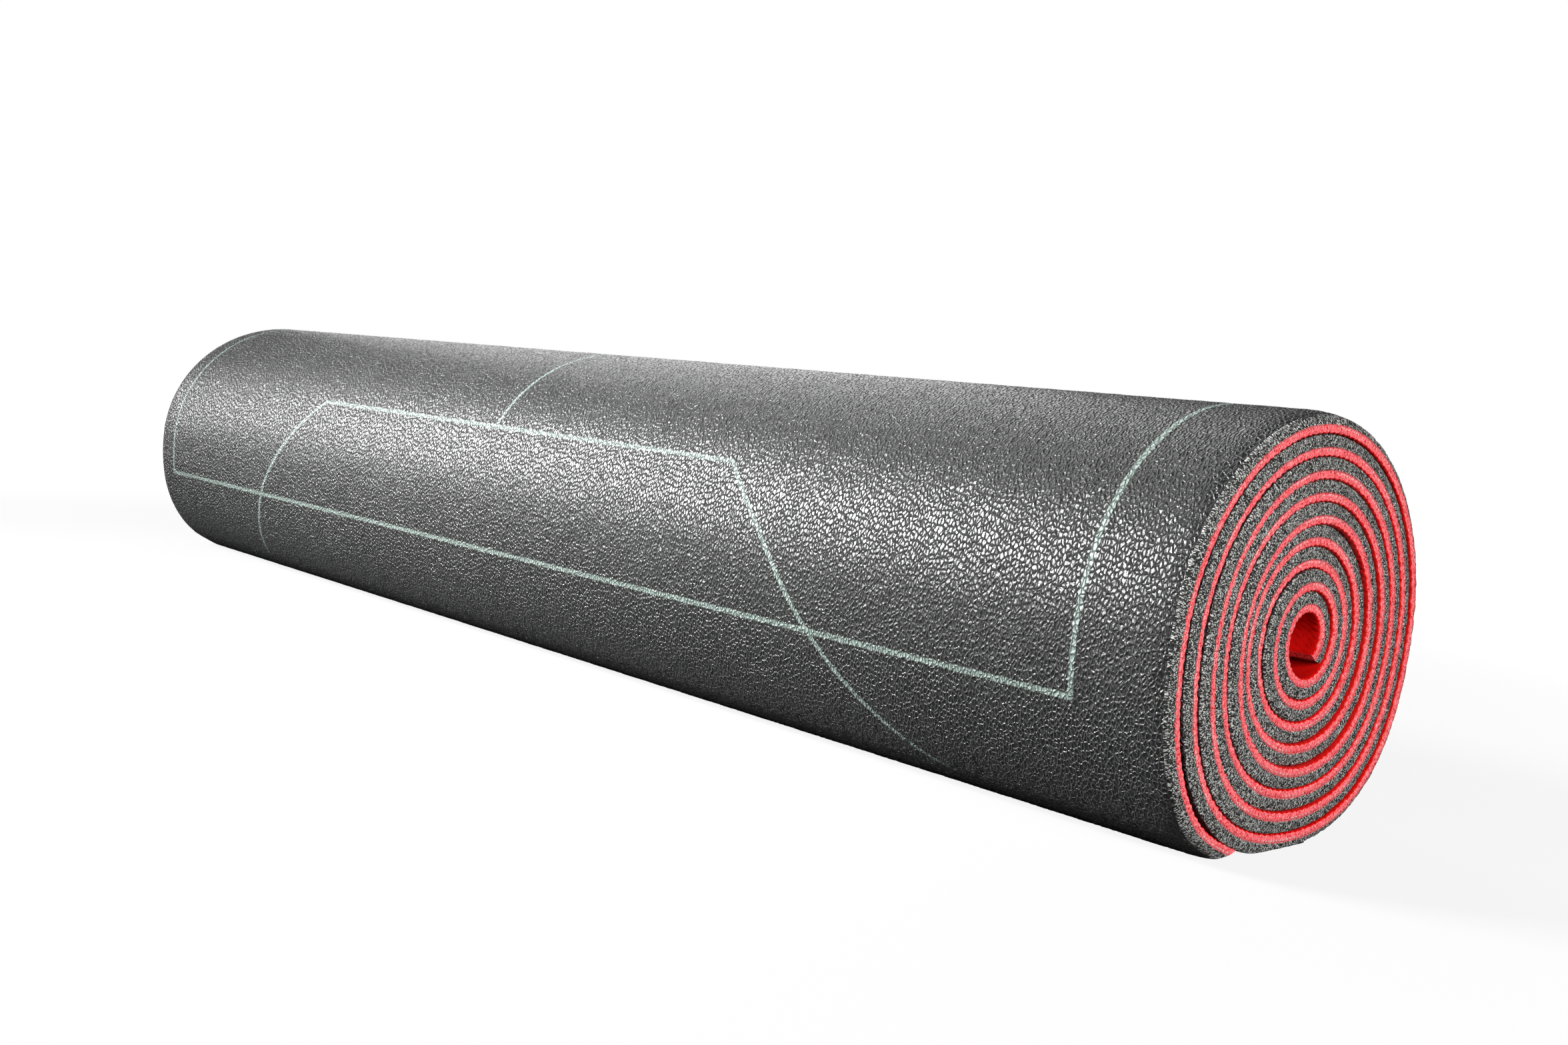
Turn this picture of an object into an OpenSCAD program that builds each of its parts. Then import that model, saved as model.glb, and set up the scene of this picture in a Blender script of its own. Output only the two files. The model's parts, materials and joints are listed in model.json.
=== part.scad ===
/* [Mat] */
// Width of the mat, which is the length of the roll
mat_w = 610; // [400:10:800]
// Thickness of the whole mat
mat_t = 5.75; // [4:0.05:8]
// Thickness of the smooth red backing foam
back_t = 2; // [1:0.1:2.5]
// Thickness of the woven scrim between the two foams
scrim_t = 0.3; // [0.2:0.05:0.5]

/* [Roll] */
// Radius of the hole that the first turn leaves
hole_r = 5.9; // [4:0.1:12]
// Turns of the mat from the inner end to the free end
turns = 8.69; // [8.6:0.01:8.75]
// Turns by which the inner end hangs back below the hole's side
inner_tail = 0.085; // [0.02:0.005:0.1]
// Air between two turns at the roll's sides
side_slack = 0.59; // [0.3:0.01:1]
// Air between two turns above and below the hole
rise_slack = 0.23; // [0.2:0.01:0.6]
// How far the floor flattens the underside
pressed = 1.8; // [1:0.1:2.4]
// How far the weight bulges the lower corners, as a share of the radius
bulge = 0.06; // [0:0.005:0.07]

/* [Outer turn] */
// Links that stand for the bending outer turn
links = 14; // [10:1:18]
// Gap between two links, on the inner skin and the outer skin alike
link_gap = 0.3; // [0.2:0.05:0.5]

/* [Hidden] */

side_pitch = mat_t + side_slack;
rise_pitch = mat_t + rise_slack;

// The free end lies half a turn further out on the left than the right side does
centre_y = side_pitch / 4;
// The last turn that passes below the hole is the one that rests on the floor
resting_turn = 7.75;
centre_z = hole_r + rise_pitch * resting_turn + mat_t - pressed;

// The core ends where its skin has just left the floor
unroll_start = resting_turn + 0.06;
link_turns = (turns - unroll_start) / links;
outer_r = hole_r + side_pitch * turns + mat_t;
half_gap_turns = link_gap / 2 / (2 * PI * outer_r);

core_steps_per_turn = 40;
link_steps = 4;
tiny = 0.0001;

// 0 above the hole, and rising to 1 at the two lower corners
function lower_corner(u) = sin(360 * u) < 0 ? pow(sin(720 * u), 2) : 0;

function radius(u, pitch) = (hole_r + pitch * u) * (1 + bulge * u / turns * lower_corner(u));

// Where the red skin is after u turns, in the roll's end view
function red_skin(u) = [
    centre_y + radius(u, side_pitch) * cos(360 * u),
    centre_z + radius(u, rise_pitch) * sin(360 * u)
];

function outward(u) =
    let (step = red_skin(u + tiny) - red_skin(u - tiny))
    [step.y, -step.x] / norm(step);

// A point inside the mat: u turns along it, and depth above its red skin
function in_mat(u, depth) = red_skin(u) + depth * outward(u);

module above_floor() {
    translate([-outer_r * 2, 0]) square([outer_r * 4, outer_r * 4]);
}

// One layer of the mat between two places along it and two depths in it
module layer(from, to, low, high, steps) {
    places = [for (i = [0:steps]) from + (to - from) * i / steps];
    rotate([90, 0, 90])
        linear_extrude(mat_w, center = true)
            intersection() {
                polygon([
                    for (u = places) in_mat(u, low),
                    for (i = [steps:-1:0]) in_mat(places[i], high)
                ]);
                above_floor();
            }
}

module core_layer(low, high) {
    from = -inner_tail;
    to = unroll_start - half_gap_turns;
    layer(from, to, low, high, round((to - from) * core_steps_per_turn));
}

module link_layer(i, low, high) {
    from = unroll_start + (i - 1) * link_turns + half_gap_turns;
    to = unroll_start + i * link_turns - (i < links ? half_gap_turns : 0);
    layer(from, to, low, high, link_steps);
}

module top_foam_core() {
    color("#2a2c2d") core_layer(back_t + scrim_t, mat_t);
}

module scrim_core() {
    color("#c9c4b8") core_layer(back_t, back_t + scrim_t);
}

module back_foam_core() {
    color("#d5141b") core_layer(0, back_t);
}

module top_foam_link(i) {
    color("#2a2c2d") link_layer(i, back_t + scrim_t, mat_t);
}

module scrim_link(i) {
    color("#c9c4b8") link_layer(i, back_t, back_t + scrim_t);
}

module back_foam_link(i) {
    color("#d5141b") link_layer(i, 0, back_t);
}

top_foam_core();
scrim_core();
back_foam_core();
for (i = [1:links]) {
    top_foam_link(i);
    scrim_link(i);
    back_foam_link(i);
}
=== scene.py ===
"""The looks of a rolled two-layer foam mat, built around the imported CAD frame. Lengths are in metres."""

import json
import math

import bpy
import numpy as np
from mathutils import Matrix, Vector

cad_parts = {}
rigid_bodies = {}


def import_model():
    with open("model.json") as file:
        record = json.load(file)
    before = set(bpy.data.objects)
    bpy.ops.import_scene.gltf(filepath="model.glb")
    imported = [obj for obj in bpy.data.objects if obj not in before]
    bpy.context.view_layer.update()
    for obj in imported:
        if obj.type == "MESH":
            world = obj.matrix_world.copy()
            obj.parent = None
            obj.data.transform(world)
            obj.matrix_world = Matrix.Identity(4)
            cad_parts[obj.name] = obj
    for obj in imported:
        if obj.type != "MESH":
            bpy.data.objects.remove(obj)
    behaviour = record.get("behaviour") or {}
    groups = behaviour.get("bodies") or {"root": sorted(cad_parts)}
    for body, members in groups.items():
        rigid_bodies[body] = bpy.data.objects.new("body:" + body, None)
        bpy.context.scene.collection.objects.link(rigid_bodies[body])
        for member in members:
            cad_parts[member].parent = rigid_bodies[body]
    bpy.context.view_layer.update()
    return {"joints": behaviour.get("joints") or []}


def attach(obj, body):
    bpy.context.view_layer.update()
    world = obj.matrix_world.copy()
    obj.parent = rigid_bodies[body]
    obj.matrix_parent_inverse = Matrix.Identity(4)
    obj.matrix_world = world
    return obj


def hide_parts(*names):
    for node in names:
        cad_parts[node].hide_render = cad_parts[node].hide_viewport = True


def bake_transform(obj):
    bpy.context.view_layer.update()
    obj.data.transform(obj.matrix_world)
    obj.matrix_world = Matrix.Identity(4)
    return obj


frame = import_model()

MM = 0.001
TAU = 2 * math.pi

# The mat and the roll, as the CAD model has them
MAT_W = 610 * MM
MAT_T = 5.75 * MM
RED_T = 2.15 * MM  # the red foam, with half of the woven scrim
HOLE_R = 5.9 * MM
TURNS = 8.69
INNER_TAIL = 0.085
SIDE_PITCH = MAT_T + 0.59 * MM
RISE_PITCH = MAT_T + 0.23 * MM
PRESSED = 1.8 * MM
BULGE = 0.06
RESTING_TURN = 7.75
CENTRE_Y = SIDE_PITCH / 4
CENTRE_Z = HOLE_R + RISE_PITCH * RESTING_TURN + MAT_T - PRESSED
LINKS = len(frame["joints"])
UNROLL_START = RESTING_TURN + 0.06
LINK_TURNS = (TURNS - UNROLL_START) / LINKS
CORE_BODY = frame["joints"][0]["parent"]

# How the free end is squeezed under the roll, and the inner end drawn out on its red side
TIP_FROM = 8.62
TIP_SLANT = 0.023
TIP_LIFT = 1.2 * MM
TAIL_FROM = 0.12
TAIL_SLANT = 0.07

# How far each half turn sticks out of the end, by turn
STICK_TURNS = [-0.1, 0.5, 1.0, 2.0, 2.5, 3.0, 3.5, 4.0, 4.5, 5.0, 5.5, 6.0, 6.5, 7.0, 7.5, 8.0, 8.7]
STICK_MM = [0.3, 0.0, 0.6, 0.0, -0.6, 0.2, 0.0, 0.9, 1.8, 1.4, 1.2, 1.3, 2.0, 1.3, 1.1, 1.4, 0.4]

# The cut edge, from the skin inwards: how far it is set back, and its depth above the red skin.
# The outer turn's edge is free and rounds off, and the turns inside press each other square.
FREE_SKIN_EDGE = [(8.0, 5.75), (6.0, 5.64), (4.5, 5.46), (3.0, 5.18), (1.8, 4.82)]
FREE_CUT_EDGE = [(1.15, 4.5), (0.8, 4.1), (0.5, 3.5), (0.3, 3.0), (0.1, 2.55), (0.0, 2.15)]
PRESSED_SKIN_EDGE = [(2.0, 5.75), (1.2, 5.72), (0.7, 5.6)]
PRESSED_CUT_EDGE = [(0.4, 5.3), (0.2, 4.8), (0.08, 4.1), (0.0, 3.4), (0.0, 2.75), (0.0, 2.15)]
RED_CUT_EDGE = [(0.0, 2.15), (0.0, 1.6), (0.0, 1.05), (0.05, 0.6), (0.12, 0.3)]
RED_SKIN_EDGE = [(0.25, 0.08), (0.5, 0.0), (2.0, 0.0)]
TURN_GAP = 0.05 * MM  # left between one turn's foam and the next
RELIEF_REACH = 1.6 * MM  # how deep below its skin the foam still follows the relief

# Mesh steps
SKIN_STEP_X = 0.42 * MM
SKIN_STEP_S = 0.7 * MM
CORE_SKIN_STEP = 1.6 * MM
RED_STEP = 1.0 * MM
EDGE_STEP = 0.8 * MM
LAST_CORE_TURN = 6.74
HOLE_TURNS = 1.2

# Each outer piece reaches under the next one by a tongue, set in from the surface
TONGUE = 2.5 * MM
TONGUE_BACK = 1 * MM
TONGUE_INSET = 0.15 * MM
SEAM_STEP = 0.03 * MM


# ---------------------------------------------------------------- the rolled mat's shape


def lower_corner(u):
    return np.where(np.sin(TAU * u) < 0, np.sin(2 * TAU * u) ** 2, 0.0)


def radius(u, pitch):
    return (HOLE_R + pitch * u) * (1 + BULGE * u / TURNS * lower_corner(u))


def red_skin(u):
    """The red skin's line in the end view, after u turns, as its y and z."""
    y = CENTRE_Y + radius(u, SIDE_PITCH) * np.cos(TAU * u)
    z = CENTRE_Z + radius(u, RISE_PITCH) * np.sin(TAU * u)
    return y, z


def in_roll(u, depth):
    """y and z of points u turns along the mat and depth above its red skin."""
    tip = smooth((u - TIP_FROM) / (TURNS - TIP_FROM))
    tail = smooth((TAIL_FROM - u) / (TAIL_FROM + INNER_TAIL))
    u = u - TIP_SLANT * depth / MAT_T * tip - TAIL_SLANT * (1 - depth / MAT_T) * tail
    y, z = red_skin(u)
    y0, z0 = red_skin(u - 1e-4)
    y1, z1 = red_skin(u + 1e-4)
    length = np.hypot(y1 - y0, z1 - z0)
    y = y + depth * (z1 - z0) / length
    z = z - depth * (y1 - y0) / length
    return y, np.maximum(z + TIP_LIFT * tip, 0.0)


def smooth(t):
    t = np.clip(t, 0, 1)
    return t * t * (3 - 2 * t)


def pressed_depth(u):
    """How deep the black foam is at u where the next turn presses on it, with no air between."""
    y, z = red_skin(u)
    y0, z0 = red_skin(u - 1e-4)
    y1, z1 = red_skin(u + 1e-4)
    length = np.hypot(y1 - y0, z1 - z0)
    next_y, next_z = red_skin(u + 1)
    room = ((next_y - y) * (z1 - z0) - (next_z - z) * (y1 - y0)) / length
    return np.clip(room - TURN_GAP, MAT_T - 0.3 * MM, MAT_T + 1.6 * MM)


TABLE_U = np.linspace(-INNER_TAIL, TURNS, 20001)


def length_table():
    """How far each place along the mat is from its free end, along the black skin."""
    y, z = red_skin(TABLE_U)
    dy, dz = np.gradient(y), np.gradient(z)
    length = np.hypot(dy, dz)
    y, z = y + MAT_T * dz / length, z - MAT_T * dy / length
    steps = np.hypot(np.diff(y), np.diff(z))
    return np.concatenate([np.cumsum(steps[::-1])[::-1], [0.0]])


TABLE_S = length_table()


def from_free_end(u):
    return np.interp(u, TABLE_U, TABLE_S)


def stick_out(u):
    """How far the mat sticks out of the roll's near end at u turns."""
    turns = np.array(STICK_TURNS)
    i = np.clip(np.searchsorted(turns, u) - 1, 0, len(turns) - 2)
    t = smooth((u - turns[i]) / (turns[i + 1] - turns[i]))
    sticks = np.array(STICK_MM) * MM
    return sticks[i] * (1 - t) + sticks[i + 1] * t


def stations(start, end, step):
    """Places from start to end, in turns, that are about a step apart along the black skin."""
    first, last = from_free_end(start), from_free_end(end)
    lengths = np.linspace(first, last, max(2, int((first - last) / step) + 1))
    lengths = np.sort([*lengths, first - SEAM_STEP, last + SEAM_STEP])[::-1]
    return np.interp(-lengths, -TABLE_S, TABLE_U)


# ---------------------------------------------------------------- relief


def scatter(i, j, seed):
    """A fixed random number from 0 to 1 for each whole-number cell."""
    n = i.astype(np.int64) * 374761393 + j.astype(np.int64) * 668265263 + seed * 974634777
    n = (n ^ (n >> 13)) * 1274126177
    return ((n ^ (n >> 16)) & 0xFFFF) / 0xFFFF


def pebbles(x, s, size_x, size_s, seed):
    """Round-topped pebbles, one to a cell, from 0 in the cracks to 1 on top."""
    gx, gs = x / size_x, s / size_s
    cx, cs = np.floor(gx), np.floor(gs)
    near = np.full(gx.shape, 9.0)
    for dx in (-1, 0, 1):
        for ds in (-1, 0, 1):
            i, j = cx + dx, cs + ds
            px = i + 0.1 + 0.8 * scatter(i, j, seed)
            ps = j + 0.1 + 0.8 * scatter(i, j, seed + 1)
            near = np.minimum(near, (gx - px) ** 2 + (gs - ps) ** 2)
    return np.clip(1 - 1.5 * near, 0, 1) ** 0.7


def drift(x, s, size, seed):
    """Soft random hills from 0 to 1, a size apart."""
    gx, gs = x / size, s / size
    cx, cs = np.floor(gx), np.floor(gs)
    tx, ts = smooth(gx - cx), smooth(gs - cs)
    low = scatter(cx, cs, seed) * (1 - tx) + scatter(cx + 1, cs, seed) * tx
    high = scatter(cx, cs + 1, seed) * (1 - tx) + scatter(cx + 1, cs + 1, seed) * tx
    return low * (1 - ts) + high * ts


def black_relief(x, s):
    """The larger pebbles of the black skin, which run slightly askew, on a soft unevenness."""
    grain = pebbles(x + 0.2 * s, s, 1.3 * MM, 2.0 * MM, 11)
    return (0.30 * grain + 0.12 * drift(x, s, 4 * MM, 5) - 0.28) * MM


def red_relief(x, s):
    """The waffle dimples in the red skin, as a depth."""
    pitch = 2.9 * MM
    wave = np.cos(TAU * x / pitch) * np.cos(TAU * s / pitch)
    return (0.30 * wave + 0.12 * (drift(x, s, 1.4 * MM, 7) - 0.5)) * MM


def edge_roughness(depth, s, seed):
    return (drift(depth, s, 0.9 * MM, seed) - 0.5) * 0.35 * MM


# ---------------------------------------------------------------- the printed lines

LINE_CENTRE_X = -5.3 * MM
LINE_BORDER_X = 281.6 * MM
LINE_BORDER_S = 62 * MM
LINE_UPPER_X = 137.5 * MM
LINE_UPPER_S = 109.6 * MM
# Curves as x and distance from the free end, in mm
LEFT_ARC = [(-142.8, 109.6), (-164, 89), (-182, 69), (-195, 48), (-206.7, 26.5)]
RIGHT_ARC = [(132.2, 109.6), (155, 89), (177, 65), (202, 42), (227.7, 22.5)]
NO_LINE = 9.0


def through(points, steps=6):
    """A smooth line through the points, as short straight pieces."""
    p = np.array(points) * MM
    p = np.vstack([2 * p[0] - p[1], p, 2 * p[-1] - p[-2]])
    t = np.linspace(0, 1, steps, endpoint=False)[:, None]
    out = []
    for a, b, c, d in zip(p, p[1:], p[2:], p[3:]):
        bend_in = 2 * a - 5 * b + 4 * c - d
        bend_out = 3 * b - a - 3 * c + d
        out.append(0.5 * (2 * b + (c - a) * t + bend_in * t**2 + bend_out * t**3))
    return np.vstack([*out, p[-2:-1]])


def gap_to_path(x, s, path):
    near = np.full(x.shape, 1.0)
    for a, b in zip(path, path[1:]):
        along = b - a
        t = np.clip(((x - a[0]) * along[0] + (s - a[1]) * along[1]) / (along @ along), 0, 1)
        near = np.minimum(near, np.hypot(x - a[0] - t * along[0], s - a[1] - t * along[1]))
    return near


def gap_to_print(x, s):
    """How far each point of the black skin is from the nearest printed line, in mm."""
    far = 3.0
    left, right = LINE_CENTRE_X - LINE_BORDER_X, LINE_CENTRE_X + LINE_BORDER_X
    border = [(left, far), (left, LINE_BORDER_S), (right, LINE_BORDER_S), (right, far)]
    left, right = LINE_CENTRE_X - LINE_UPPER_X, LINE_CENTRE_X + LINE_UPPER_X
    upper = [(left, LINE_UPPER_S), (right, LINE_UPPER_S)]
    centre = [(LINE_CENTRE_X, LINE_UPPER_S), (LINE_CENTRE_X, far)]
    paths = [np.array(border), np.array(upper), np.array(centre), through(LEFT_ARC), through(RIGHT_ARC)]
    gap = np.min([gap_to_path(x, s, p) for p in paths], axis=0)
    return np.minimum(gap / MM, NO_LINE)


# ---------------------------------------------------------------- meshes


def mesh_object(name, parts, materials):
    """One mesh from closed tubes. Its first material is on the skins and its second on the cut edges."""
    firsts = np.cumsum([0] + [len(part["points"]) for part in parts])
    quads = np.vstack([part["quads"] + first for part, first in zip(parts, firsts)])
    caps = [cap + first for part, first in zip(parts, firsts) for cap in part["caps"]]
    corners = np.concatenate([quads.ravel(), *caps])
    sizes = np.array([4] * len(quads) + [len(cap) for cap in caps])
    slots = np.concatenate([part["slots"] for part in parts] + [part["cap_slots"] for part in parts])
    uvs = np.vstack([part["uvs"] for part in parts] + [uv for part in parts for uv in part["cap_uvs"]])
    mesh = bpy.data.meshes.new(name)
    mesh.vertices.add(firsts[-1])
    mesh.vertices.foreach_set("co", np.vstack([part["points"] for part in parts]).ravel())
    mesh.loops.add(len(corners))
    mesh.loops.foreach_set("vertex_index", corners.astype(np.int32))
    mesh.polygons.add(len(sizes))
    mesh.polygons.foreach_set("loop_start", (np.cumsum(sizes) - sizes).astype(np.int32))
    mesh.polygons.foreach_set("material_index", slots.astype(np.int32))
    mesh.polygons.foreach_set("use_smooth", sizes == 4)
    mesh.update(calc_edges=True)
    mesh.uv_layers.new(name="mat").data.foreach_set("uv", uvs.ravel())
    mesh.validate()
    for material in materials:
        mesh.materials.append(material)
    made = bpy.data.objects.new(name, mesh)
    bpy.context.scene.collection.objects.link(made)
    return made


def store(piece, name, values):
    """Keeps a number for each point of a piece, which its material reads."""
    attribute = piece.data.attributes.new(name, "FLOAT", "POINT")
    attribute.data.foreach_set("value", values.astype(np.float32))


def black_ring(step, skin_edge, cut_edge):
    """The black foam's outline across the mat: x, depth, and whether each face is skin."""
    half = MAT_W / 2
    edge = np.array(skin_edge) * MM
    cut = np.array(cut_edge) * MM
    flat = half - edge[0, 0]
    count = max(2, int(2 * flat / step))
    across = np.linspace(-flat, flat, count + 1)
    right = np.vstack([edge[1:], cut])
    x = np.concatenate([across, half - right[:, 0], right[::-1, 0] - half])
    depth = np.concatenate([np.full(len(across), MAT_T), right[:, 1], right[::-1, 1]])
    skins = len(across) + len(edge) - 1
    n = len(x)
    is_skin = np.zeros(n, bool)
    is_skin[: skins - 1] = True
    is_skin[n - len(edge) :] = True
    return x, depth, is_skin


def red_ring(step):
    """The red foam's outline across the mat, in the same way, with its skin at depth 0."""
    half = MAT_W / 2
    cut = np.array(RED_CUT_EDGE) * MM
    edge = np.array(RED_SKIN_EDGE) * MM
    flat = half - edge[-1, 0]
    count = max(2, int(2 * flat / step))
    across = np.linspace(flat, -flat, count + 1)
    right = np.vstack([cut, edge[:-1]])
    x = np.concatenate([half - right[:, 0], across, right[::-1, 0] - half])
    depth = np.concatenate([right[:, 1], np.zeros(len(across)), right[::-1, 1]])
    n = len(x)
    is_skin = np.zeros(n, bool)
    is_skin[len(cut) - 1 : n - len(cut)] = True
    return x, depth, is_skin


def tube(u, ring, relief, skin_depth, inset=0.0, pressed=False):
    """A closed tube of foam along the places u, with its points, quads, end caps and coordinates."""
    x, depth, is_skin = ring
    if inset:
        middle = (depth.min() + depth.max()) / 2
        x = x - np.sign(x) * inset
        depth = depth + np.sign(middle - depth) * inset
    m, n = len(u), len(x)
    uu, xx = np.repeat(u, n), np.tile(x, m)
    dd = np.tile(depth, m)
    if pressed:
        dd = RED_T + (dd - RED_T) * (pressed_depth(uu) - RED_T) / (MAT_T - RED_T)
    s = from_free_end(uu)
    near_skin = np.clip(1 - np.abs(np.tile(depth, m) - skin_depth) / RELIEF_REACH, 0, 1)
    lift = near_skin * relief(xx, s) if relief else 0.0
    y, z = in_roll(uu, dd + lift)
    on_edge = np.abs(xx) > MAT_W / 2 - 1.2 * MM
    rough = np.where(on_edge, edge_roughness(dd, s, 3) * np.sign(xx), 0.0)
    points = np.stack([xx + stick_out(uu) + rough, y, z], 1)
    i, j = np.meshgrid(np.arange(m - 1), np.arange(n), indexing="ij")
    k = (j + 1) % n
    quads = np.stack([i * n + j, i * n + k, (i + 1) * n + k, (i + 1) * n + j], -1).reshape(-1, 4)
    slots = np.tile(~is_skin, m - 1)
    caps = [np.arange(n)[::-1], (m - 1) * n + np.arange(n)]
    across = np.where(is_skin[j], 0, 1).reshape(-1)
    s_at = from_free_end(u)
    uvs = np.empty((len(quads), 4, 2))
    for c, (row, col) in enumerate(((i, j), (i, k), (i + 1, k), (i + 1, j))):
        uvs[:, c, 0] = np.where(across == 0, x[col].ravel(), depth[col].ravel())
        uvs[:, c, 1] = s_at[row].ravel()
    cap_uvs = [np.stack([depth, x], 1)[::-1], np.stack([depth, x], 1)]
    cap_slots = [int(u[0] <= -INNER_TAIL), int(u[-1] >= TURNS)]
    return {
        "points": points,
        "places": np.stack([xx, s], 1),
        "quads": quads,
        "slots": slots,
        "uvs": uvs.reshape(-1, 2),
        "caps": caps,
        "cap_slots": cap_slots,
        "cap_uvs": cap_uvs,
    }


def black_foam(name, parts):
    """Black foam, which also knows how far each point is from the printed lines."""
    piece = mesh_object(name, parts, [BLACK_SKIN, BLACK_CUT])
    x, s = np.vstack([part["places"] for part in parts]).T
    store(piece, "print_gap", gap_to_print(x, s))
    return piece


def red_foam(name, parts):
    return mesh_object(name, parts, [RED_SKIN, RED_CUT])


# ---------------------------------------------------------------- materials


class Nodes:
    """Short calls for building one material's nodes."""

    def __init__(self, name):
        self.material = bpy.data.materials.new(name)
        self.material.use_nodes = True
        self.tree = self.material.node_tree
        self.shader = self.tree.nodes["Principled BSDF"]

    def add(self, kind, **settings):
        node = self.tree.nodes.new("ShaderNode" + kind)
        for key, value in settings.items():
            setattr(node, key, value)
        return node

    def put(self, socket, value):
        if isinstance(value, bpy.types.NodeSocket):
            self.tree.links.new(value, socket)
        else:
            socket.default_value = value

    def math(self, operation, a, b=0.0, c=0.0):
        node = self.add("Math", operation=operation)
        for socket, value in zip(node.inputs, (a, b, c)):
            self.put(socket, value)
        return node.outputs[0]

    def mat_place(self, x_size, s_size):
        """The place on the mat, counted in cells of these sizes."""
        uv = self.add("UVMap", uv_map="mat")
        scale = self.add("Mapping")
        self.put(scale.inputs["Vector"], uv.outputs[0])
        scale.inputs["Scale"].default_value = (1 / x_size, 1 / s_size, 1)
        return scale.outputs[0]

    def noise(self, place, scale=1.0, detail=2.0, roughness=0.5):
        node = self.add("TexNoise", noise_dimensions="2D")
        self.put(node.inputs["Vector"], place)
        node.inputs["Scale"].default_value = scale
        node.inputs["Detail"].default_value = detail
        node.inputs["Roughness"].default_value = roughness
        return node.outputs[0]

    def pebbles(self, x_size, s_size):
        """Domed pebbles in cells of about this size: 0 in the cracks between them, 1 on top."""
        place = self.mat_place(x_size, s_size)
        place.node.inputs["Rotation"].default_value[2] = 0.2
        wobble = self.add("TexNoise", noise_dimensions="2D")
        self.put(wobble.inputs["Vector"], place)
        wobble.inputs["Scale"].default_value = 0.9
        moved = self.add("VectorMath", operation="MULTIPLY_ADD")
        self.put(moved.inputs[0], wobble.outputs["Color"])
        moved.inputs[1].default_value = (0.8, 0.8, 0)
        self.put(moved.inputs[2], place)
        node = self.add("TexVoronoi", voronoi_dimensions="2D", feature="DISTANCE_TO_EDGE")
        self.put(node.inputs["Vector"], moved.outputs[0])
        node.inputs["Scale"].default_value = 1.0
        wall = self.step(node.outputs["Distance"], -0.02, 0.25)
        return self.math("MULTIPLY_ADD", node.outputs["Distance"], 0.4, self.math("MULTIPLY", wall, 0.75))

    def grains(self, place):
        """A random number from 0 to 1 for each cell."""
        node = self.add("TexVoronoi", voronoi_dimensions="2D", feature="F1")
        self.put(node.inputs["Vector"], place)
        node.inputs["Scale"].default_value = 1.0
        split = self.add("SeparateColor")
        self.put(split.inputs[0], node.outputs["Color"])
        return split.outputs[0]

    def ramp(self, value, *stops):
        """A colour ramp with stops of (place, colour)."""
        node = self.add("ValToRGB")
        ramp = node.color_ramp
        while len(ramp.elements) < len(stops):
            ramp.elements.new(0.5)
        for element, (place, colour) in zip(ramp.elements, stops):
            element.position = place
            element.color = (*colour, 1)
        self.put(node.inputs[0], value)
        return node.outputs[0]

    def step(self, value, low, high):
        """0 below low, 1 above high, and smooth between them. High may be the lower one."""
        node = self.add("MapRange", interpolation_type="SMOOTHSTEP")
        self.put(node.inputs[0], value)
        flip = low > high
        node.inputs[1].default_value = min(low, high)
        node.inputs[2].default_value = max(low, high)
        node.inputs[3].default_value = 1.0 if flip else 0.0
        node.inputs[4].default_value = 0.0 if flip else 1.0
        return node.outputs[0]

    def mix(self, share, a, b):
        node = self.add("Mix", data_type="RGBA")
        self.put(node.inputs[0], share)
        self.put(node.inputs[6], a)
        self.put(node.inputs[7], b)
        return node.outputs[2]

    def bump(self, height, distance, strength=1.0):
        node = self.add("Bump")
        self.put(node.inputs["Height"], height)
        node.inputs["Distance"].default_value = distance
        node.inputs["Strength"].default_value = strength
        return node.outputs[0]


def grey(level, tint=(1, 1, 1)):
    return tuple(level * t for t in tint) + (1,)


def black_skin_material():
    """Matt black foam with a pressed leather grain, painted shade in the cracks between its pebbles, and
    pale printed lines over it.
    """
    n = Nodes("black leather-grain foam skin")
    pebble = n.pebbles(1.15 * MM, 1.75 * MM)
    fine = n.noise(n.mat_place(0.65 * MM, 1.0 * MM), detail=3.0, roughness=0.6)
    height = n.math("MULTIPLY_ADD", fine, 0.5, pebble)
    patches = n.noise(n.mat_place(40 * MM, 60 * MM), detail=3.0)
    tone = n.mix(patches, grey(0.006, (0.95, 1.05, 1.0)), grey(0.011, (0.95, 1.05, 1.0)))
    # Painted shade: the cracks between the pebbles are darkened towards black in the base colour, and they
    # are also made rougher.
    crack = n.step(height, 0.85, 0.45)
    tone = n.mix(crack, tone, grey(0.0008))
    gap = n.add("Attribute", attribute_name="print_gap").outputs["Fac"]
    ragged = n.noise(n.mat_place(1.1 * MM, 1.3 * MM), detail=2.0)
    edge = n.math("MULTIPLY_ADD", ragged, 0.8, gap)
    line = n.step(edge, 1.45, 1.05)
    worn = n.step(height, 0.45, 0.85)
    cover = n.math("MULTIPLY", line, n.math("MULTIPLY_ADD", worn, 0.6, 0.4))
    colour = n.mix(cover, tone, (0.14, 0.185, 0.165, 1))
    n.put(n.shader.inputs["Base Color"], colour)
    rough = n.math("MULTIPLY_ADD", patches, 0.08, 0.27)
    rough = n.math("MULTIPLY_ADD", crack, 0.70, rough)
    rough = n.math("MULTIPLY_ADD", line, 0.15, rough)
    n.put(n.shader.inputs["Roughness"], rough)
    n.shader.inputs["Specular IOR Level"].default_value = 0.75
    n.put(n.shader.inputs["Normal"], n.bump(height, 0.40 * MM, 1.0))
    return n.material


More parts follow.
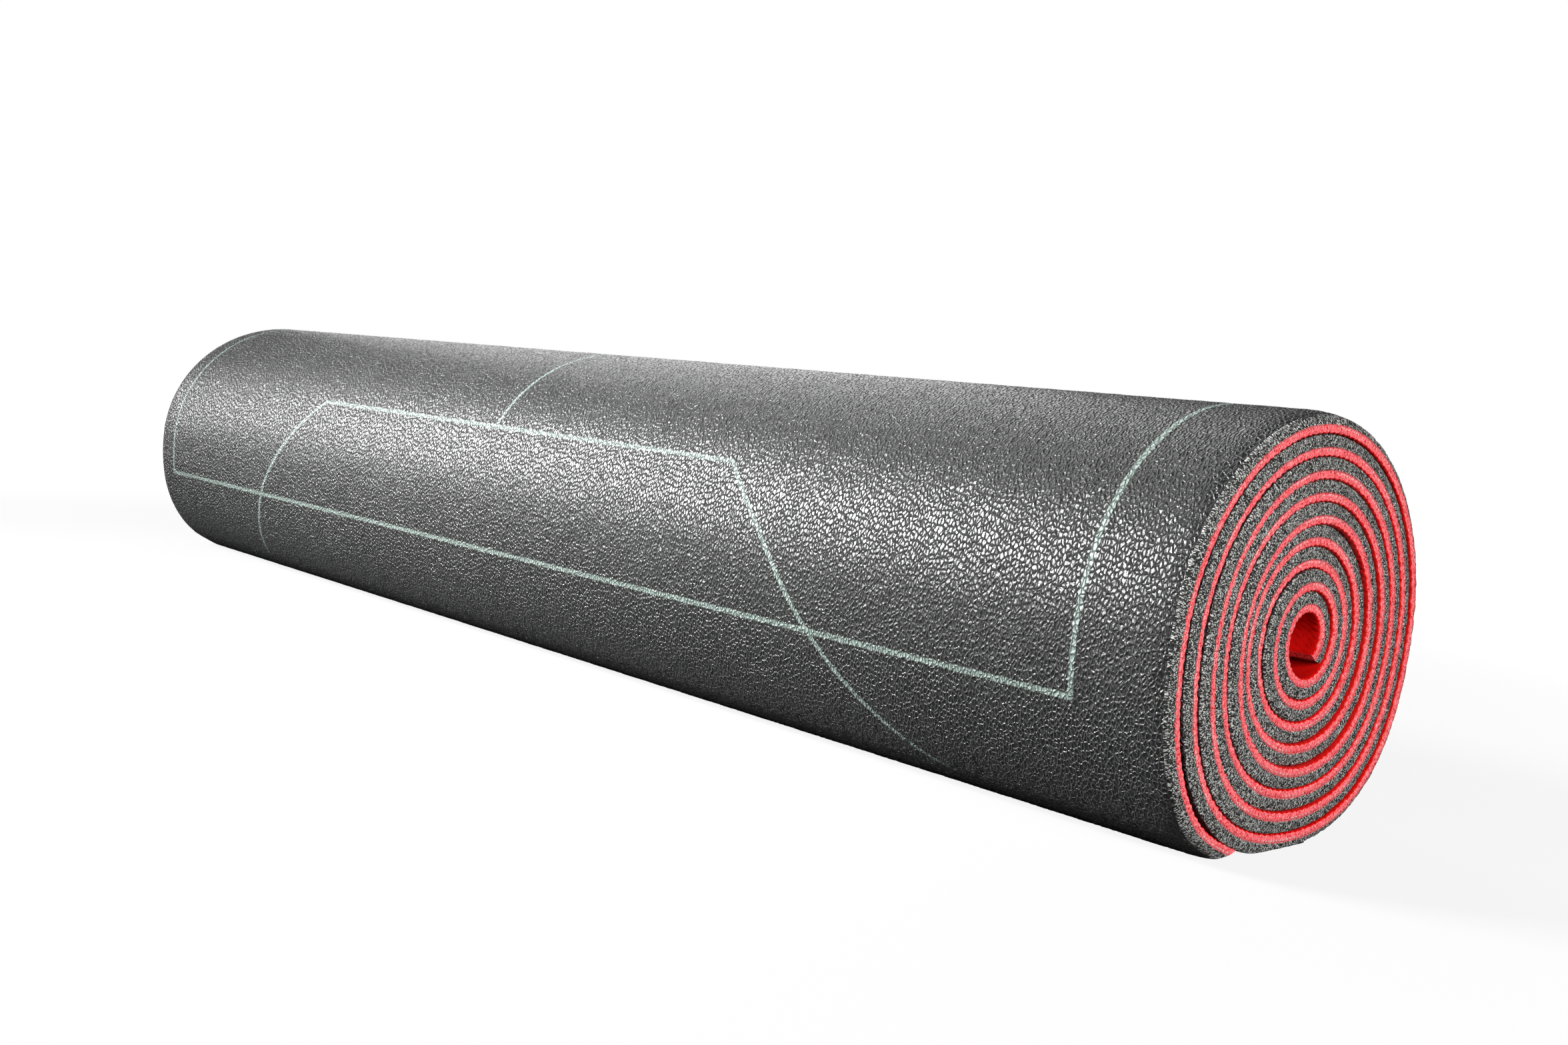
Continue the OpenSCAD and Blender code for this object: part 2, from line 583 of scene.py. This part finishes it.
def black_cut_material():
    """Cut black foam: dark pores between open cells, whose pale grains are painted glints off the shiny
    cell walls.
    """
    n = Nodes("cut black foam")
    grains = n.grains(n.mat_place(0.24 * MM, 0.21 * MM))
    soft = n.noise(n.mat_place(0.7 * MM, 0.5 * MM), detail=2.0)
    level = n.math("MULTIPLY_ADD", soft, 0.5, n.math("MULTIPLY_ADD", grains, 0.8, -0.15))
    # The palest grains in this ramp are painted glints; the cut foam itself is black.
    colour = n.ramp(
        level,
        (0.28, (0.003, 0.003, 0.003)),
        (0.48, (0.020, 0.020, 0.019)),
        (0.64, (0.09, 0.091, 0.088)),
        (0.80, (0.60, 0.61, 0.58)),
    )
    uv = n.add("UVMap", uv_map="mat")
    depth = n.add("SeparateXYZ")
    n.put(depth.inputs[0], uv.outputs[0])
    fray = n.noise(n.mat_place(1.2 * MM, 0.7 * MM), detail=3.0, roughness=0.65)
    reach = n.math("MULTIPLY_ADD", fray, -1.5 * MM, depth.outputs[0])
    fuzz = n.step(reach, 1.75 * MM, 1.5 * MM)
    colour = n.mix(fuzz, colour, (0.85, 0.10, 0.11, 1))
    n.put(n.shader.inputs["Base Color"], colour)
    n.shader.inputs["Roughness"].default_value = 0.7
    n.shader.inputs["Specular IOR Level"].default_value = 0.3
    n.put(n.shader.inputs["Normal"], n.bump(grains, 0.18 * MM, 0.7))
    return n.material


def red_skin_material():
    """Saturated red foam skin with a satin gloss in its waffle dimples."""
    n = Nodes("red foam skin")
    mottle = n.noise(n.mat_place(5 * MM, 5 * MM), detail=3.0)
    colour = n.mix(mottle, (0.62, 0.002, 0.002, 1), (0.85, 0.006, 0.003, 1))
    n.put(n.shader.inputs["Base Color"], colour)
    fine = n.noise(n.mat_place(0.6 * MM, 0.6 * MM), detail=2.0)
    n.shader.inputs["Roughness"].default_value = 0.42
    n.shader.inputs["Specular IOR Level"].default_value = 0.4
    n.put(n.shader.inputs["Normal"], n.bump(fine, 0.12 * MM, 0.6))
    return n.material


def red_cut_material():
    """Cut red foam: coral, pitted with dark pores, with painted highlights on its palest grains and the
    scrim's pale threads at its inner side.
    """
    n = Nodes("cut red foam")
    grains = n.grains(n.mat_place(0.30 * MM, 0.32 * MM))
    soft = n.noise(n.mat_place(1.0 * MM, 1.0 * MM), detail=2.0)
    level = n.math("MULTIPLY_ADD", soft, 0.6, n.math("MULTIPLY_ADD", grains, 0.7, -0.15))
    # The palest pink grains in this ramp are painted highlights; the dark red ones are pores.
    colour = n.ramp(
        level,
        (0.16, (0.45, 0.003, 0.008)),
        (0.28, (0.88, 0.080, 0.095)),
        (0.60, (0.97, 0.155, 0.175)),
        (0.84, (0.98, 0.34, 0.35)),
    )
    uv = n.add("UVMap", uv_map="mat")
    depth = n.add("SeparateXYZ")
    n.put(depth.inputs[0], uv.outputs[0])
    sway = n.noise(n.mat_place(60 * MM, 2.4 * MM), detail=1.0)
    wander = n.math("MULTIPLY_ADD", sway, 0.5 * MM, depth.outputs[0])
    off = n.math("ABSOLUTE", n.math("SUBTRACT", wander, 2.0 * MM))
    thread = n.step(off, 0.36 * MM, 0.10 * MM)
    shown = n.step(n.noise(n.mat_place(60 * MM, 30 * MM), detail=3.0), 0.46, 0.60)
    broken = n.step(n.noise(n.mat_place(0.8 * MM, 1.6 * MM), detail=2.0), 0.40, 0.55)
    thread = n.math("MULTIPLY", thread, n.math("MULTIPLY", shown, broken))
    colour = n.mix(n.math("MULTIPLY", thread, 0.75), colour, (0.92, 0.55, 0.55, 1))
    jitter = n.math("MULTIPLY", n.noise(n.mat_place(60 * MM, 4 * MM), detail=1.0), 5.0)
    beat = n.math("SINE", n.math("MULTIPLY_ADD", depth.outputs[1], TAU / (1.9 * MM), jitter))
    knot = n.math("MULTIPLY", n.step(beat, 0.70, 0.98), n.step(off, 0.45 * MM, 0.15 * MM))
    colour = n.mix(n.math("MULTIPLY", knot, broken), colour, (0.25, 0.003, 0.008, 1))
    n.put(n.shader.inputs["Base Color"], colour)
    n.shader.inputs["Roughness"].default_value = 0.7
    n.shader.inputs["Specular IOR Level"].default_value = 0.3
    n.put(n.shader.inputs["Normal"], n.bump(grains, 0.15 * MM, 0.7))
    return n.material


def floor_material():
    """A white floor that the camera sees as bright, and that lights the mat only dimly."""
    n = Nodes("white floor")
    n.shader.inputs["Base Color"].default_value = grey(0.05)
    n.shader.inputs["Roughness"].default_value = 0.9
    n.shader.inputs["Specular IOR Level"].default_value = 0.0
    n.shader.inputs["Emission Color"].default_value = grey(1.0)
    place = n.add("NewGeometry").outputs["Position"]
    far = n.add("VectorMath", operation="LENGTH")
    n.put(far.inputs[0], place)
    glow = n.math("MULTIPLY_ADD", n.step(far.outputs["Value"], 0.3, 0.8), 0.12, 0.88)
    seen = n.add("LightPath").outputs["Is Camera Ray"]
    n.put(n.shader.inputs["Emission Strength"], n.math("MULTIPLY", seen, glow))
    return n.material


# ---------------------------------------------------------------- the pieces

BLACK_SKIN, BLACK_CUT = black_skin_material(), black_cut_material()
RED_SKIN, RED_CUT = red_skin_material(), red_cut_material()


def finish_piece(nodes):
    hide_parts(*nodes)


def bend_shares():
    """The hinges, and for each link how far its middle drops to lie on its chord, and that middle."""
    ends = [np.array(j["pos_m"][1:]) for j in frame["joints"]]
    ends.append(np.array(in_roll(np.array(TURNS), np.array(0.0))) + (0, -MAT_T))
    drops, middles = [], []
    for k in range(LINKS):
        u = np.array(UNROLL_START + (k + 0.5) * LINK_TURNS)
        middle = np.array(in_roll(u, np.array(MAT_T)))
        chord = ends[k + 1] - ends[k]
        away = middle - ends[k]
        drops.append(abs(chord[0] * away[1] - chord[1] * away[0]) / np.hypot(*chord))
        middles.append(middle)
    return ends, drops, middles


HINGES, DROPS, MIDDLES = bend_shares()


def bend(piece):
    """Bakes the piece's placement into its mesh."""
    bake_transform(piece)


def seams():
    """Where one outer piece of foam meets the next, in turns."""
    middles = [UNROLL_START + (k + 0.5) * LINK_TURNS for k in range(LINKS - 1)]
    return [UNROLL_START - 0.5 * LINK_TURNS, *middles, TURNS]


def tongue_turns(u):
    """The stretch of the inset tongue that fills the seam at u when the mat opens."""
    per_turn = TAU * (HOLE_R + SIDE_PITCH * u)
    return np.linspace(u - TONGUE_BACK / per_turn, u + TONGUE / per_turn, 8)


def outer_turn(make, colour, ring, relief, skin_depth, step):
    """The outer turn of one foam, as a piece across each hinge with a tongue into the next piece."""
    cuts = seams()
    for k in range(LINKS):
        parts = [tube(stations(cuts[k], cuts[k + 1], step), ring, relief, skin_depth)]
        if k < LINKS - 1:
            parts.append(tube(tongue_turns(cuts[k + 1]), ring, relief, skin_depth, TONGUE_INSET))
        piece = make(f"{colour}_foam_turn_{k + 1}", parts)
        bend(piece)
        if colour == "black":
            finish_piece([f"top_foam_link_{k + 1}"])
        else:
            finish_piece([f"back_foam_link_{k + 1}", f"scrim_link_{k + 1}"])


def black_core():
    """The inner turns' black foam, and its last whole turn, which shows when the mat is open."""
    edges = (PRESSED_SKIN_EDGE, PRESSED_CUT_EDGE)
    hidden_ring = black_ring(MAT_W, *edges)
    hidden = tube(stations(-INNER_TAIL, LAST_CORE_TURN, EDGE_STEP), hidden_ring, None, MAT_T, pressed=True)
    shown_ring = black_ring(CORE_SKIN_STEP, *edges)
    shown = tube(stations(LAST_CORE_TURN, seams()[0], CORE_SKIN_STEP), shown_ring, black_relief, MAT_T)
    for name, part in (("black_foam_core", hidden), ("black_foam_core_last_turn", shown)):
        piece = black_foam(name, [part])
        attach(piece, CORE_BODY)
        finish_piece(["top_foam_core"])


def red_core():
    """The inner turns' red foam, finely made where it shows in the hole."""
    hole = tube(stations(-INNER_TAIL, HOLE_TURNS, RED_STEP), red_ring(RED_STEP), red_relief, 0.0)
    rest = tube(stations(HOLE_TURNS, seams()[0], EDGE_STEP), red_ring(MAT_W), red_relief, 0.0)
    piece = red_foam("red_foam_core", [hole, rest])
    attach(piece, CORE_BODY)
    finish_piece(["back_foam_core", "scrim_core"])


def make_mat():
    black_core()
    red_core()
    free_ring = black_ring(SKIN_STEP_X, FREE_SKIN_EDGE, FREE_CUT_EDGE)
    outer_turn(black_foam, "black", free_ring, black_relief, MAT_T, SKIN_STEP_S)
    outer_turn(red_foam, "red", red_ring(RED_STEP), red_relief, 0.0, RED_STEP)


# ---------------------------------------------------------------- floor, light and camera


def make_floor():
    mesh = bpy.data.meshes.new("floor")
    far = 30.0
    mesh.from_pydata([(-far, -far, 0), (far, -far, 0), (far, far, 0), (-far, far, 0)], [], [(0, 1, 2, 3)])
    mesh.materials.append(floor_material())
    floor = bpy.data.objects.new("floor", mesh)
    floor.location.z = -0.0002
    bpy.context.scene.collection.objects.link(floor)


def softbox(name, place, aim, width, height, watts, spread):
    light = bpy.data.lights.new(name, "AREA")
    light.shape = "RECTANGLE"
    light.size, light.size_y = width, height
    light.spread = math.radians(spread)
    light.energy = watts
    lamp = bpy.data.objects.new(name, light)
    lamp.location = place
    lamp.rotation_euler = (Vector(aim) - Vector(place)).to_track_quat("-Z", "Y").to_euler()
    bpy.context.scene.collection.objects.link(lamp)


def make_lights():
    middle = (0.1, 0, 0.06)
    softbox("key softbox", (-0.48, -0.66, 0.50), (0.18, 0, 0.06), 0.30, 0.18, 7.0, 70)
    softbox("left softbox", (-0.95, -0.52, 0.30), (-0.1, 0, 0.06), 0.30, 0.30, 2.5, 90)
    softbox("back softbox", (-0.95, 0.72, 0.85), middle, 0.9, 1.2, 11, 180)
    softbox("end softbox", (1.5, -0.40, 0.45), middle, 0.5, 0.5, 21, 180)


def make_world():
    world = bpy.data.worlds.new("white studio")
    world.use_nodes = True
    tree = world.node_tree
    seen = tree.nodes["Background"]
    seen.inputs[0].default_value = grey(1.0)
    seen.inputs[1].default_value = 1.0
    fill = tree.nodes.new("ShaderNodeBackground")
    fill.inputs[0].default_value = grey(1.0)
    fill.inputs[1].default_value = 0.025
    path = tree.nodes.new("ShaderNodeLightPath")
    mix = tree.nodes.new("ShaderNodeMixShader")
    tree.links.new(path.outputs["Is Camera Ray"], mix.inputs[0])
    tree.links.new(fill.outputs[0], mix.inputs[1])
    tree.links.new(seen.outputs[0], mix.inputs[2])
    tree.links.new(mix.outputs[0], tree.nodes["World Output"].inputs[0])
    bpy.context.scene.world = world


def make_camera():
    lens = bpy.data.cameras.new("camera")
    lens.sensor_width = 36
    lens.lens = 35.745
    lens.shift_x = -0.01633
    lens.shift_y = 0.00757
    lens.clip_start = 0.01
    camera = bpy.data.objects.new("camera", lens)
    heading, pitch, roll = math.radians(135.58), math.radians(-4.43), math.radians(6.10)
    turn = Matrix.Rotation(heading - math.pi / 2, 4, "Z") @ Matrix.Rotation(math.pi / 2 + pitch, 4, "X")
    stand = Matrix.Translation((0.50508, -0.38349, 0.10216))
    camera.matrix_world = stand @ turn @ Matrix.Rotation(roll, 4, "Z")
    bpy.context.scene.collection.objects.link(camera)
    bpy.context.scene.camera = camera


make_camera()
make_world()
make_lights()
make_floor()
make_mat()
bpy.context.scene.view_settings.view_transform = "Standard"
